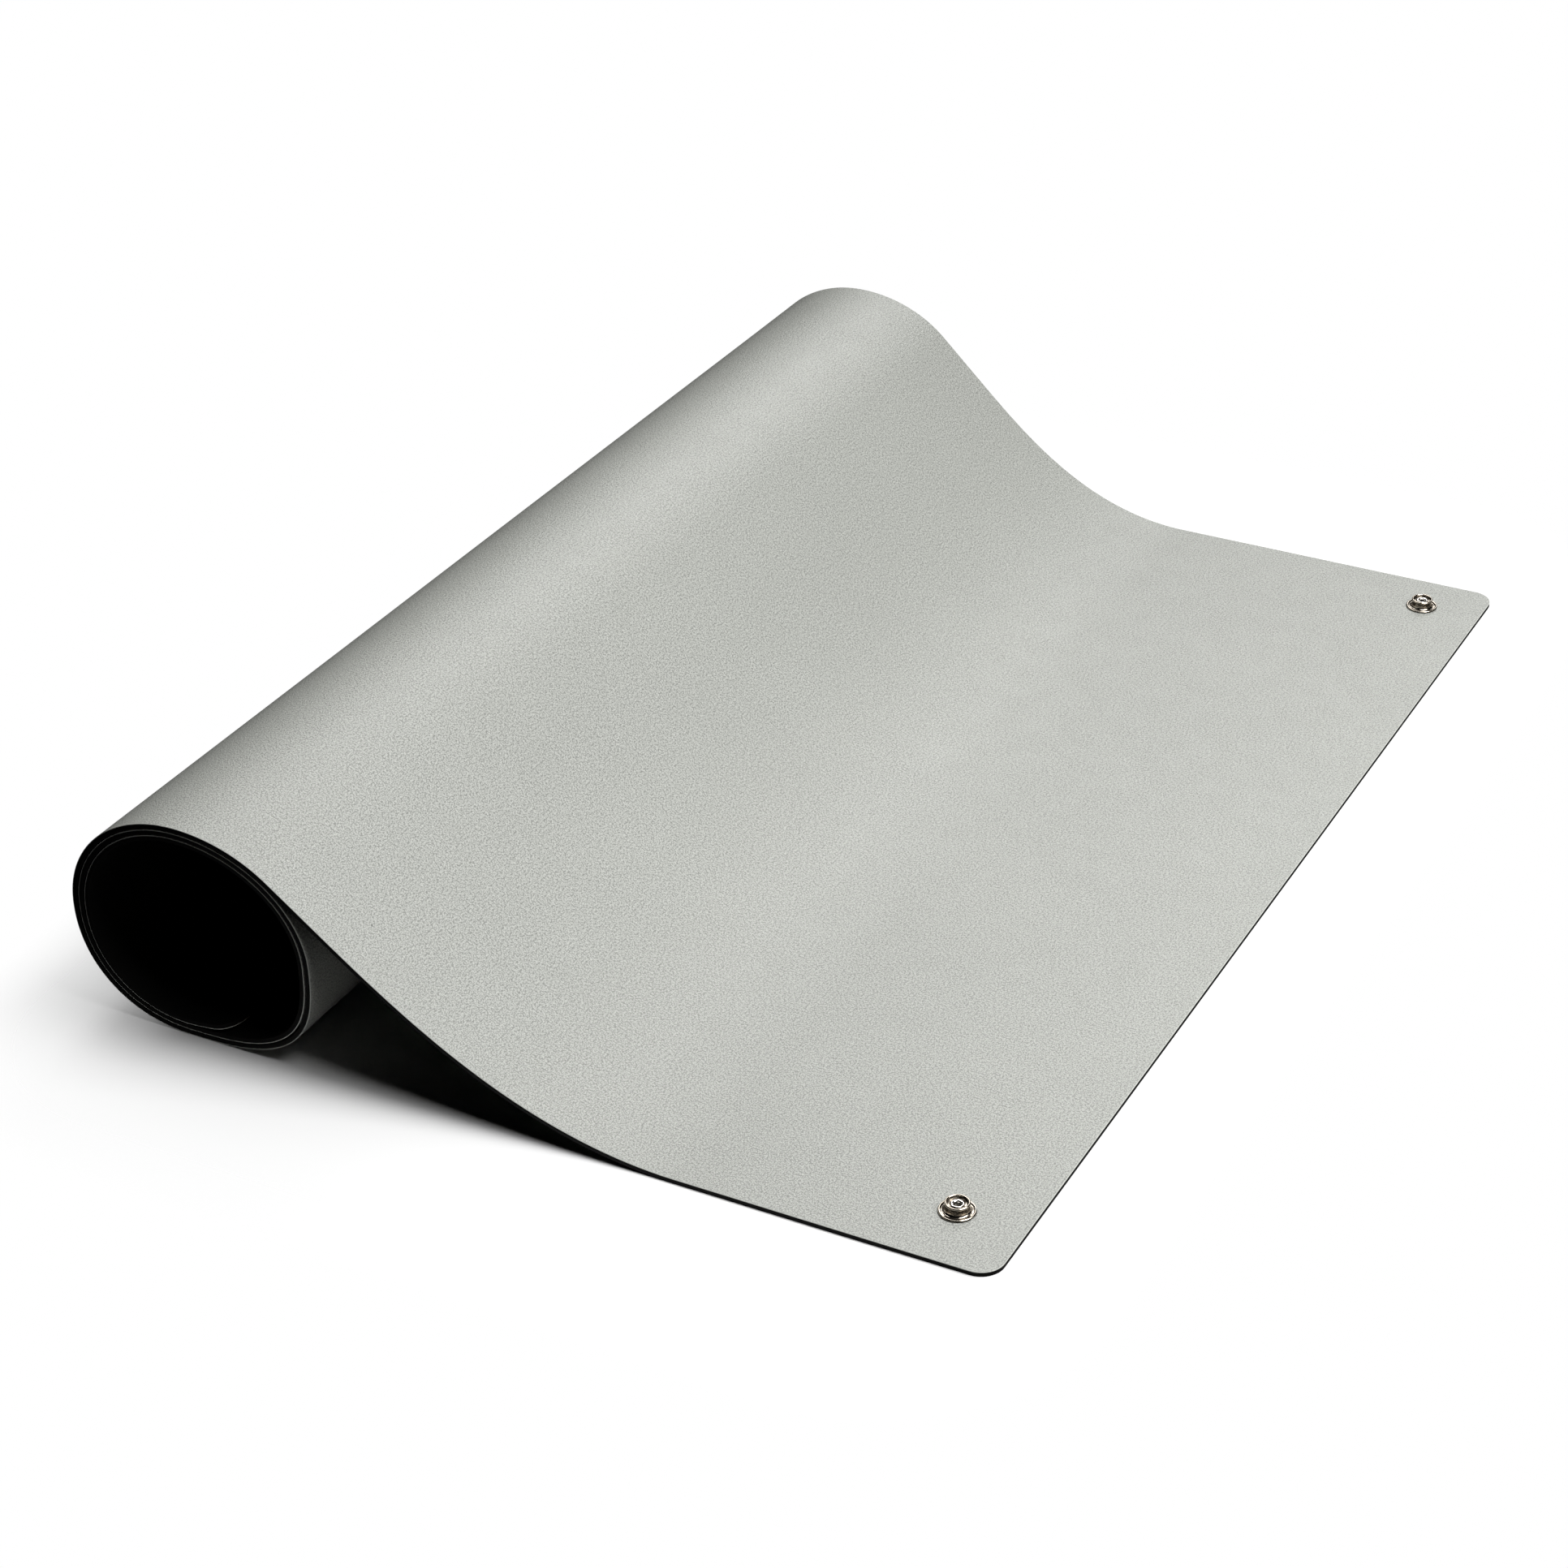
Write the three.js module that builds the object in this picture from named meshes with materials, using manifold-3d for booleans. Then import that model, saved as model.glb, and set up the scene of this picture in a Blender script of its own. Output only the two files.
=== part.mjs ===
// An anti-static bench mat, 600 x 1200 mm: a thin grey dissipative rubber face on a black conductive
// rubber base. One end lies flat and carries a press stud at each corner. The other end rises and
// turns over a loose, flattened roll, grey face outwards, with its long edges in line.
// Millimetres, +Z up. The near edge is at -Y, the free flat end at +X, and the sheet rests on Z = 0.

import * as THREE from "three";
import { mergeVertices } from "three/addons/utils/BufferGeometryUtils.js";
import Module from "manifold-3d";

const wasm = await Module();
wasm.setup();

// Sheet
const sheetWidth = 600;
const sheetLength = 1200;
const faceThickness = 0.35;
const baseThickness = 1.85;
const cornerRadius = 10;

// How each long edge lies: the flat run from the free end, the length over which it bends up to its
// steepest slope (degrees), and the height of the roll's crest
const nearEdge = { flatRun: 134, bendRun: 184, slope: 37, crestHeight: 99.3 };
const farEdge = { flatRun: 166, bendRun: 136, slope: 43.8, crestHeight: 101.2 };

// Roll: the outermost turn's reach to either side of its crest, the air between turns at the sides
// and at top and bottom, and how full the two lower quarters are (2 is an ellipse)
const outerReach = 55.4;
const innerReach = 62.4;
const sideGap = 0.73;
const stackGap = 0.29;
const outerFullness = 2.16;
const innerFullness = 2.87;

// The last stretch of the inner end lifts off the turn below it
const endLift = 2.5;
const endLiftRun = 30;

// Press stud, pressed from sheet metal: a flange with a rolled rim, a necked collar with a beaded
// edge, and a shallow dish across its top. Heights are above the sheet's face.
const studMetal = 0.5;
const flangeRadius = 7.5;
const rimHeight = 1;
const grooveRadius = 6.3;
const footRadius = 5.7;
const neckRadius = 4.6;
const neckHeight = 2.2;
const beadRadius = 5.05;
const beadRoll = 0.5;
const studHeight = 4.5;
const dishHeight = 3.3;

// Rivet: a disc let into the underside and a hollow post flared over the stud's dish
const discRadius = 7;
const discThickness = 0.5;
const postRadius = 1.85;
const postBore = 1.35;
const flareRadius = 2.6;
const flareHeight = 0.5;

// Stud centres, from the free end and from the two long edges
const studFromEnd = 29;
const nearStudInset = 30.5;
const farStudInset = 26.5;

const fitClearance = 0.3;

// Fineness of the round shapes
const bendStep = 6;
const cornerSteps = 6;
const linePieces = 200;
const lineTurns = 3.5;
const turnedSides = 24;
const arcSteps = 3;

const sheetThickness = faceThickness + baseThickness;
const fullTurn = 2 * Math.PI;

// The grey face of one long edge as a fine line of points in X and Z, walked from the free end
// inwards, each with the direction in which the grey face looks
function edgeLine(edge) {
  const sidePitch = sheetThickness + sideGap;
  const stackPitch = sheetThickness + stackGap;
  const crestRise = (edge.crestHeight + stackPitch / 2) / 2;
  const axisHeight = edge.crestHeight - crestRise;
  const slope = THREE.MathUtils.degToRad(edge.slope);

  // A point of the roll, by the angle it has turned past the crest
  function rollPoint(angle) {
    const turns = angle / fullTurn;
    const side = Math.cos(angle + Math.PI / 2);
    const up = Math.sin(angle + Math.PI / 2);
    const reach = (side < 0 ? outerReach : innerReach) - sidePitch * turns;
    const rise = crestRise - stackPitch * turns;
    const lower = side < 0 ? outerFullness : innerFullness;
    const power = up < 0 ? lower : 2;
    const across = (Math.abs(side) / reach) ** power;
    const along = (Math.abs(up) / rise) ** power;
    const radius = (across + along) ** (-1 / power);
    return new THREE.Vector2(radius * side, axisHeight + radius * up);
  }

  // Where the sheet, coming up at its steepest slope, meets the roll
  const nudge = fullTurn / linePieces / 10;
  let join = 0;
  for (let climb = 0; climb < slope; join -= nudge) {
    const ahead = rollPoint(join - nudge);
    const here = rollPoint(join);
    climb = Math.atan2(here.y - ahead.y, ahead.x - here.x);
  }

  const points = [new THREE.Vector2(0, sheetThickness)];
  const walk = (dx, dz) => points.push(points.at(-1).clone().add(new THREE.Vector2(dx, dz)));
  walk(-edge.flatRun, 0);
  const piece = edge.bendRun / linePieces;
  for (let i = 0; i < linePieces; i += 1) {
    const climb = slope * Math.sin((Math.PI / 2) * ((i + 0.5) / linePieces));
    walk(-piece * Math.cos(climb), piece * Math.sin(climb));
  }
  const rampHeight = rollPoint(join).y - points.at(-1).y;
  walk(-rampHeight / Math.tan(slope), rampHeight);

  const axis = points.at(-1).x - rollPoint(join).x;
  const rollStep = fullTurn / linePieces;
  for (let angle = join + rollStep; angle < lineTurns * fullTurn; angle += rollStep) {
    const point = rollPoint(angle);
    points.push(new THREE.Vector2(axis + point.x, point.y));
  }

  // Each point's distance along the middle of the sheet's thickness
  const line = [];
  let distance = 0;
  points.forEach((point, i) => {
    const before = points[Math.max(i - 1, 0)];
    const after = points[Math.min(i + 1, points.length - 1)];
    const along = after.clone().sub(before).normalize();
    const facing = new THREE.Vector2(along.y, -along.x);
    const middle = point.clone().addScaledVector(facing, -sheetThickness / 2);
    distance += i ? middle.distanceTo(line[i - 1].middle) : 0;
    line.push({ point, facing, middle, distance });
  });
  return line;
}

// The point of an edge line at a distance along the sheet and a depth below its grey face
function pointAt(line, distance, depth) {
  const next = Math.max(line.findIndex((entry) => entry.distance > distance), 1);
  const from = line[next - 1];
  const to = line[next];
  const share = (distance - from.distance) / (to.distance - from.distance);
  const point = from.point.clone().lerp(to.point, share);
  const facing = from.facing.clone().lerp(to.facing, share).normalize();
  return point.addScaledVector(facing, -depth);
}

const nearLine = edgeLine(nearEdge);
const farLine = edgeLine(farEdge);

// Stations along the sheet: close together on the round corners, every few millimetres where it bends
function sheetStations() {
  const corner = [];
  for (let i = 0; i <= cornerSteps; i += 1) {
    corner.push(cornerRadius * (1 - Math.cos((Math.PI / 2) * (i / cornerSteps))));
  }
  const bendFrom = Math.min(nearEdge.flatRun, farEdge.flatRun);
  const bendTo = sheetLength - cornerRadius;
  const pieces = Math.ceil((bendTo - bendFrom) / bendStep);
  const bend = [];
  for (let i = 0; i < pieces; i += 1) {
    bend.push(THREE.MathUtils.lerp(bendFrom, bendTo, i / pieces));
  }
  return [...corner, ...bend, ...corner.map((value) => sheetLength - value).reverse()];
}

// How far the round corners bring the long edges in
function edgeInset(distance) {
  const fromEnd = Math.min(distance, sheetLength - distance);
  const short = Math.max(cornerRadius - fromEnd, 0);
  return cornerRadius - Math.sqrt(cornerRadius ** 2 - short ** 2);
}

const stations = sheetStations();

// The origin is in the middle of the overall length
function overallReach() {
  let reach = 0;
  for (const distance of stations) {
    reach = Math.max(reach, -pointAt(nearLine, distance, 0).x, -pointAt(farLine, distance, 0).x);
  }
  return reach;
}

const centreShift = overallReach() / 2;

// One rubber layer between two depths below the grey face. Both layers have the same stations and the
// same diagonals, so the faces where they are bonded match point for point.
function layerGeometry(outerDepth, innerDepth) {
  const positions = [];
  for (const distance of stations) {
    const liftShare = Math.max(distance - (sheetLength - endLiftRun), 0) / endLiftRun;
    const lift = endLift * liftShare ** 2;
    const inset = edgeInset(distance);
    for (const depth of [outerDepth, innerDepth]) {
      const near = pointAt(nearLine, distance, depth + lift);
      const far = pointAt(farLine, distance, depth + lift);
      for (const across of [inset, sheetWidth - inset]) {
        const point = near.clone().lerp(far, across / sheetWidth);
        positions.push(centreShift + point.x, across - sheetWidth / 2, point.y);
      }
    }
  }

  // Corners of each station: outer near, outer far, inner near, inner far
  const index = [];
  const quad = (a, b, c, d) => index.push(a, b, c, a, c, d);
  const last = 4 * (stations.length - 1);
  for (let at = 0; at < last; at += 4) {
    const next = at + 4;
    quad(at + 1, next + 1, next, at);
    quad(at + 3, at + 2, next + 2, next + 3);
    quad(at, next, next + 2, at + 2);
    quad(at + 3, next + 3, next + 1, at + 1);
  }
  quad(0, 2, 3, 1);
  quad(last + 1, last + 3, last + 2, last);

  const geometry = new THREE.BufferGeometry();
  geometry.setAttribute("position", new THREE.Float32BufferAttribute(positions, 3));
  geometry.setIndex(index);
  return geometry;
}

// Booleans
function solidOf(geometry) {
  const bare = geometry.clone();
  bare.deleteAttribute("normal");
  bare.deleteAttribute("uv");
  const merged = mergeVertices(bare, 1e-4);
  const vertProperties = merged.attributes.position.array;
  const triVerts = new Uint32Array(merged.index.array);
  return new wasm.Manifold(new wasm.Mesh({ numProp: 3, vertProperties, triVerts }));
}

function geometryOf(solid) {
  const mesh = solid.getMesh();
  const geometry = new THREE.BufferGeometry();
  geometry.setAttribute("position", new THREE.BufferAttribute(mesh.vertProperties, 3));
  geometry.setIndex(new THREE.BufferAttribute(mesh.triVerts, 1));
  return geometry;
}

function cut(geometry, tools) {
  let solid = solidOf(geometry);
  for (const tool of tools) {
    solid = solid.subtract(solidOf(tool));
  }
  return geometryOf(solid);
}

// An upright cylinder at a stud's place, from one height to another
function drill(place, radius, from, to) {
  const cylinder = new THREE.CylinderGeometry(radius, radius, to - from, turnedSides);
  cylinder.rotateX(Math.PI / 2);
  cylinder.translate(place.x, place.y, (from + to) / 2);
  return cylinder;
}

function turned(profile) {
  const geometry = new THREE.LatheGeometry(profile.getPoints(arcSteps), turnedSides);
  geometry.rotateX(Math.PI / 2);
  return geometry;
}

function studGeometry() {
  const hole = postRadius + fitClearance;
  const rim = rimHeight / 2;
  const beadCentre = beadRadius - beadRoll;
  const beadHeight = studHeight - beadRoll;
  const underBead = -Math.acos((neckRadius - beadCentre) / beadRoll);
  const dishRadius = beadRadius - 2 * beadRoll;
  const dishUnder = dishHeight - studMetal;
  const neckInside = neckRadius - studMetal;

  const profile = new THREE.Path();
  profile.moveTo(footRadius - studMetal, 0);
  profile.lineTo(flangeRadius - rim, 0);
  profile.absarc(flangeRadius - rim, rim, rim, -Math.PI / 2, Math.PI / 2);
  profile.quadraticCurveTo(flangeRadius - rimHeight, rimHeight, grooveRadius, studMetal);
  profile.lineTo(footRadius, studMetal);
  profile.quadraticCurveTo(neckRadius, studMetal, neckRadius, neckHeight);
  profile.absarc(beadCentre, beadHeight, beadRoll, underBead, Math.PI);
  profile.lineTo(dishRadius, dishHeight + studMetal);
  profile.quadraticCurveTo(dishRadius, dishHeight, dishRadius - studMetal, dishHeight);
  profile.lineTo(hole, dishHeight);
  profile.lineTo(hole, dishUnder);
  profile.lineTo(neckInside, dishUnder);
  profile.lineTo(neckInside, neckHeight);
  profile.quadraticCurveTo(neckInside, 0, footRadius - studMetal, 0);
  return turned(profile);
}

function rivetGeometry() {
  const edge = discThickness / 2;
  const flareFrom = sheetThickness + dishHeight;
  const flareTo = flareFrom + flareHeight;
  const lip = flareHeight / 2;
  const profile = new THREE.Path();
  profile.moveTo(postBore, 0);
  profile.lineTo(discRadius - edge, 0);
  profile.absarc(discRadius - edge, edge, edge, -Math.PI / 2, Math.PI / 2);
  profile.lineTo(postRadius, discThickness);
  profile.lineTo(postRadius, flareFrom);
  profile.lineTo(flareRadius - lip, flareFrom);
  profile.absarc(flareRadius - lip, flareFrom + lip, lip, -Math.PI / 2, Math.PI / 2);
  profile.quadraticCurveTo(postBore, flareTo, postBore, flareFrom - flareHeight);
  profile.closePath();
  return turned(profile);
}

// Pieces
const greyRubber = { color: 0xb4b3ab, roughness: 0.62, metalness: 0 };
const blackRubber = { color: 0x141414, roughness: 0.7, metalness: 0 };
const nickelPlate = { color: 0xc9c5bb, roughness: 0.22, metalness: 1 };

function piece(name, geometry, finish) {
  geometry.computeVertexNormals();
  const mesh = new THREE.Mesh(geometry, new THREE.MeshStandardMaterial(finish));
  mesh.name = name;
  return mesh;
}

const studPlaces = {
  near: new THREE.Vector3(centreShift - studFromEnd, nearStudInset - sheetWidth / 2, 0),
  far: new THREE.Vector3(centreShift - studFromEnd, sheetWidth / 2 - farStudInset, 0),
};

const postHoles = [];
const discRecesses = [];
for (const place of Object.values(studPlaces)) {
  const through = sheetThickness + fitClearance;
  postHoles.push(drill(place, postRadius + fitClearance, -fitClearance, through));
  discRecesses.push(drill(place, discRadius + fitClearance, -fitClearance, discThickness));
}

const mat = new THREE.Group();
const faceLayer = layerGeometry(0, faceThickness);
const baseLayer = layerGeometry(faceThickness, sheetThickness);
mat.add(piece("dissipative_top_layer", cut(faceLayer, postHoles), greyRubber));
mat.add(piece("conductive_base_layer", cut(baseLayer, [...postHoles, ...discRecesses]), blackRubber));

for (const [side, place] of Object.entries(studPlaces)) {
  const stud = piece("stud_" + side, studGeometry(), nickelPlate);
  stud.position.set(place.x, place.y, sheetThickness);
  const rivet = piece("rivet_" + side, rivetGeometry(), nickelPlate);
  rivet.position.copy(place);
  mat.add(stud, rivet);
}

export default mat;
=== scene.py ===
"""Anti-static bench mat: a grey rubber face on a black rubber base, part unrolled, with two press studs.

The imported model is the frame. The rubber layers, the studs and the rivets are made again here with
their fine shape and finish, in metres and in the frame's own places."""

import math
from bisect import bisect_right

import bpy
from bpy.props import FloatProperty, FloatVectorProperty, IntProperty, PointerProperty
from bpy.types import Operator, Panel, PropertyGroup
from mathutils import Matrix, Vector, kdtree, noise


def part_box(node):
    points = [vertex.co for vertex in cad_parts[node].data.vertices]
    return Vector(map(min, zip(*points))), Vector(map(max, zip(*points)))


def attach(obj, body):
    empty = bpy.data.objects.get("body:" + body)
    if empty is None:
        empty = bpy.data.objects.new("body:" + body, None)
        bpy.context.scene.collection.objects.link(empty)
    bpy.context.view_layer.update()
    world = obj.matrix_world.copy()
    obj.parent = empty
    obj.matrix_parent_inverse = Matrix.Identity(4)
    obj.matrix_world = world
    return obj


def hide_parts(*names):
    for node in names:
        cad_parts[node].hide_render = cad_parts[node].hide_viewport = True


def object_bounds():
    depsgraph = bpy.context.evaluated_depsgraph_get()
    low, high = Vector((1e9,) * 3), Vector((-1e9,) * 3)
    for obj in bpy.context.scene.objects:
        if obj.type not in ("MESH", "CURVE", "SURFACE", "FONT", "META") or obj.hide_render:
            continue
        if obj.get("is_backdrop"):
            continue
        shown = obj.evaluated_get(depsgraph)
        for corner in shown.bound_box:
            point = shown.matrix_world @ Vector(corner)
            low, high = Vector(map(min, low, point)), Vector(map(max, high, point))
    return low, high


bl_info = {
    "name": "Anti-Static Bench Mat",
    "version": (1, 0, 0),
    "blender": (4, 5, 0),
    "location": "View3D > Sidebar > Bench Mat",
    "description": "A part-unrolled rubber bench mat with press studs, and the studio it is shown in",
    "category": "Object",
}

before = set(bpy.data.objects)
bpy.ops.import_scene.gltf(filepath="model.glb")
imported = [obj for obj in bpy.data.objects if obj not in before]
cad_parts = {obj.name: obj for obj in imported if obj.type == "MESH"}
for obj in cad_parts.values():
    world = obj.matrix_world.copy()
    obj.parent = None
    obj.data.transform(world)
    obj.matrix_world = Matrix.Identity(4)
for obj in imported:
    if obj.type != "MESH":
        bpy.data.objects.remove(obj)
cad_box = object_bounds()

MM = 0.001
FACE_NODE = "dissipative_top_layer"
BASE_NODE = "conductive_base_layer"
SIDES = ("near", "far")

# An edge that bends more than this stays crisp
CREASE = math.radians(50)

# The map laid out for baking the finish to, and the attributes that the finishes
# read: a point's place on the unrolled sheet, and how much grime, painted shade and painted dark reflection
# lies on a turned piece
BAKE_MAP = "OFBake"
FLAT_PLACE = "flat_place"
GRIME_AND_SHADE = "grime_and_shade"


def length(name, description, millimetres):
    """A size, stated in millimetres and kept in metres"""
    return FloatProperty(
        name=name, description=description, default=millimetres * MM, min=0.0, precision=5, unit="LENGTH"
    )


def slope(name, description, degrees):
    return FloatProperty(
        name=name, description=description, default=math.radians(degrees), min=0.0, subtype="ANGLE"
    )


def share(name, description, default, most=1.0):
    return FloatProperty(name=name, description=description, default=default, min=0.0, max=most)


def colour(name, description, default):
    return FloatVectorProperty(
        name=name, description=description, default=default, min=0.0, max=1.0, size=3, subtype="COLOR"
    )


def overall_width():
    low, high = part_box(BASE_NODE)
    return (high[1] - low[1]) / MM


# Sizes and finishes

class SheetSizes(PropertyGroup):
    """The rubber sheet: its cut, its layers, and the way it lies"""

    cut_length: length("Length", "Length of the sheet laid flat", 1200)
    cut_width: length("Width", "Width of the sheet", overall_width())
    face_thickness: length("Face thickness", "Thickness of the grey layer", 0.35)
    base_thickness: length("Base thickness", "Thickness of the black layer", 1.85)
    corner_radius: length("Corner radius", "Radius of the four cut corners", 10)
    arris: length("Arris", "Rounding of the cut edges", 0.15)

    near_flat_run: length("Near flat run", "Flat length of the near edge from the free end", 134)
    near_bend_run: length("Near bend run", "Length over which the near edge bends up", 184)
    near_slope: slope("Near slope", "Steepest slope of the near edge", 37)
    near_crest: length("Near crest", "Height of the roll's crest at the near edge", 99.3)
    far_flat_run: length("Far flat run", "Flat length of the far edge from the free end", 166)
    far_bend_run: length("Far bend run", "Length over which the far edge bends up", 136)
    far_slope: slope("Far slope", "Steepest slope of the far edge", 43.8)
    far_crest: length("Far crest", "Height of the roll's crest at the far edge", 101.2)

    outer_reach: length("Outer reach", "Reach of the roll's first turn away from the flat end", 55.4)
    inner_reach: length("Inner reach", "Reach of the roll's first turn towards the flat end", 62.4)
    side_gap: length("Side gap", "Air between turns at the sides of the roll", 0.73)
    stack_gap: length("Stack gap", "Air between turns at the top and bottom", 0.29)
    outer_fullness: share("Outer fullness", "Power of the lower outer quarter, 2 is an ellipse", 2.16, 9)
    inner_fullness: share("Inner fullness", "Power of the lower inner quarter, 2 is an ellipse", 2.87, 9)
    end_lift: length("End lift", "How far the inner end lifts off the turn below it", 2.5)
    end_lift_run: length("End lift run", "Length of the stretch that lifts", 30)

    ripple_height: length("Ripple height", "Height of the faint waves left in the sheet", 0.22)
    ripple_length: length("Ripple length", "Length of those waves", 95)


class StudSizes(PropertyGroup):
    """The press stud and the rivet that holds it, heights above the seat of each"""

    metal: length("Metal", "Thickness of the stud's sheet metal", 0.5)
    flange_radius: length("Flange radius", "Outer radius of the flange", 7.5)
    rim_height: length("Rim height", "Height of the flange's rolled rim", 1)
    groove_radius: length("Groove radius", "Where the rim runs out into the groove", 6.3)
    foot_radius: length("Foot radius", "Where the collar's sweep starts", 5.7)
    neck_radius: length("Neck radius", "Radius of the neck under the bead", 4.6)
    neck_height: length("Neck height", "Height where the neck meets the bead", 2.2)
    bead_radius: length("Bead radius", "Outer radius of the bead", 5.05)
    bead_roll: length("Bead roll", "Radius of the bead's own section", 0.5)
    height: length("Stud height", "Height of the stud", 4.5)
    dish_height: length("Dish height", "Height of the dish's floor", 3.3)

    disc_radius: length("Disc radius", "Radius of the rivet's disc", 7)
    disc_thickness: length("Disc thickness", "Thickness of the rivet's disc", 0.5)
    post_radius: length("Post radius", "Outer radius of the rivet's post", 1.85)
    post_bore: length("Post bore", "Bore of the rivet's post", 1.35)
    flare_radius: length("Flare radius", "Outer radius of the flared end", 2.6)
    flare_height: length("Flare height", "Height of the flared end", 0.5)
    flare_wander: length("Flare wander", "How uneven the flared end is", 0.06)
    clearance: length("Clearance", "Clearance of the rivet in its holes", 0.3)


class Finishes(PropertyGroup):
    """Colours and grain"""

    face: colour("Face", "Grey dissipative rubber", (0.31, 0.3165, 0.2945))
    base: colour("Base", "Black conductive rubber", (0.004, 0.0038, 0.0034))
    nickel: colour("Nickel", "Nickel plate", (0.54, 0.485, 0.41))
    # Tarnish also paints shade: dark in the studs' grooves, under their rims and down the bores, and dark
    # reflections on their collars
    tarnish_and_shade: colour("Tarnish", "Dull metal and grime in the grooves", (0.03, 0.024, 0.017))
    speck: colour("Speck", "Dust specks on the face", (0.035, 0.032, 0.03))
    face_roughness: share("Face roughness", "Roughness of the grey face", 0.36)
    grain_size: length("Grain size", "Size of one pebble of the face's grain", 0.74)
    grain_depth: length("Grain depth", "Depth of the face's grain", 0.16)
    floor: colour("Floor", "Studio floor", (0.78, 0.78, 0.78))


class Fineness(PropertyGroup):
    """How finely the shapes are divided"""

    along: IntProperty(name="Along", description="Divisions along the sheet", default=480, min=20)
    across: IntProperty(name="Across", description="Divisions across the sheet", default=40, min=4)
    corner: IntProperty(name="Corner", description="Divisions of a corner", default=12, min=3)
    arris: IntProperty(name="Arris", description="Divisions of a rounded edge", default=3, min=1)
    line: IntProperty(name="Line", description="Divisions of one turn of the roll", default=240, min=30)
    sides: IntProperty(name="Sides", description="Sides of a turned piece", default=96, min=12)
    arc: IntProperty(name="Arc", description="Divisions of a turned piece's arcs", default=8, min=2)


class BenchMat(PropertyGroup):
    """Everything that a user may change"""

    sheet: PointerProperty(type=SheetSizes)
    stud: PointerProperty(type=StudSizes)
    finish: PointerProperty(type=Finishes)
    fineness: PointerProperty(type=Fineness)


# The way the sheet lies

# Turns to which the roll's line is drawn. The sheet ends on it at its own length
TURNS = 3.5
# Power of the roll's upper half, which is an ellipse
TOP_POWER = 2.0
# Steps to a division of the roll's line, in the search for where the sheet meets it
MEETING_STEPS = 10


class EdgeCourse:
    """One long edge of the grey face as a fine line in X and Z, walked from the free end inwards"""

    def __init__(self, sheet, pieces, flat_run, bend_run, steepest, crest_height):
        self.sheet = sheet
        self.thickness = sheet.face_thickness + sheet.base_thickness
        self.stack_pitch = self.thickness + sheet.stack_gap
        self.side_pitch = self.thickness + sheet.side_gap
        self.crest_rise = (crest_height + self.stack_pitch / 2) / 2
        self.axis_height = crest_height - self.crest_rise

        join = self.meeting(steepest, math.tau / pieces / MEETING_STEPS)
        self.walk = [(0.0, self.thickness), (-flat_run, self.thickness)]
        self.bend(bend_run, steepest, pieces)
        x, z = self.walk[-1]
        join_x, join_z = self.roll_point(join)
        self.walk.append((x - (join_z - z) / math.tan(steepest), join_z))
        axis = self.walk[-1][0] - join_x
        step = math.tau / pieces
        angle = join + step
        while angle < TURNS * math.tau:
            x, z = self.roll_point(angle)
            self.walk.append((axis + x, z))
            angle += step
        self.measure()

    def roll_point(self, angle):
        """A point of the roll, by the angle it has turned past the crest"""
        turns = angle / math.tau
        side = math.cos(angle + math.pi / 2)
        up = math.sin(angle + math.pi / 2)
        outer = side < 0
        reach = (self.sheet.outer_reach if outer else self.sheet.inner_reach) - self.side_pitch * turns
        rise = self.crest_rise - self.stack_pitch * turns
        lower = self.sheet.outer_fullness if outer else self.sheet.inner_fullness
        power = lower if up < 0 else TOP_POWER
        radius = ((abs(side) / reach) ** power + (abs(up) / rise) ** power) ** (-1 / power)
        return radius * side, self.axis_height + radius * up

    def meeting(self, steepest, nudge):
        """The angle at which the sheet, coming up at its steepest slope, meets the roll"""
        angle = 0.0
        climb = 0.0
        while climb < steepest:
            here = self.roll_point(angle)
            ahead = self.roll_point(angle - nudge)
            climb = math.atan2(here[1] - ahead[1], ahead[0] - here[0])
            angle -= nudge
        return angle

    def bend(self, run, steepest, pieces):
        """Carries the walk up from flat to its steepest slope, turning less and less"""
        for i in range(pieces):
            climb = steepest * math.sin((math.pi / 2) * (i + 0.5) / pieces)
            x, z = self.walk[-1]
            self.walk.append((x - run / pieces * math.cos(climb), z + run / pieces * math.sin(climb)))

    def measure(self):
        """Gives each point the way it faces and its distance along the middle of the thickness"""
        self.facing = []
        self.distance = []
        last = len(self.walk) - 1
        middle = None
        for i, (x, z) in enumerate(self.walk):
            before = self.walk[max(i - 1, 0)]
            after = self.walk[min(i + 1, last)]
            along = Vector((after[0] - before[0], after[1] - before[1])).normalized()
            facing = Vector((along.y, -along.x))
            now = Vector((x, z)) - facing * self.thickness / 2
            step = (now - middle).length if middle else 0.0
            self.distance.append(self.distance[-1] + step if middle else 0.0)
            self.facing.append(facing)
            middle = now

    def at(self, distance):
        """The point of the grey face at a distance along the sheet, and the way it faces"""
        after = min(max(bisect_right(self.distance, distance), 1), len(self.walk) - 1)
        start = self.distance[after - 1]
        part = (distance - start) / (self.distance[after] - start)
        point = Vector(self.walk[after - 1]).lerp(Vector(self.walk[after]), part)
        return point, self.facing[after - 1].lerp(self.facing[after], part).normalized()


def smooth_step(low, high, value):
    part = min(max((value - low) / (high - low), 0.0), 1.0)
    return part * part * (3 - 2 * part)


# Between these distances from the free end the faint ripples come in, and between those they die out
RIPPLE_IN = (60 * MM, 140 * MM)
RIPPLE_OUT = (470 * MM, 560 * MM)
RIPPLE_ROWS = 0.7
# How far the supporting column keeps from a cut edge, in roundings of that edge
EDGE_SUPPORT = 5


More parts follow.
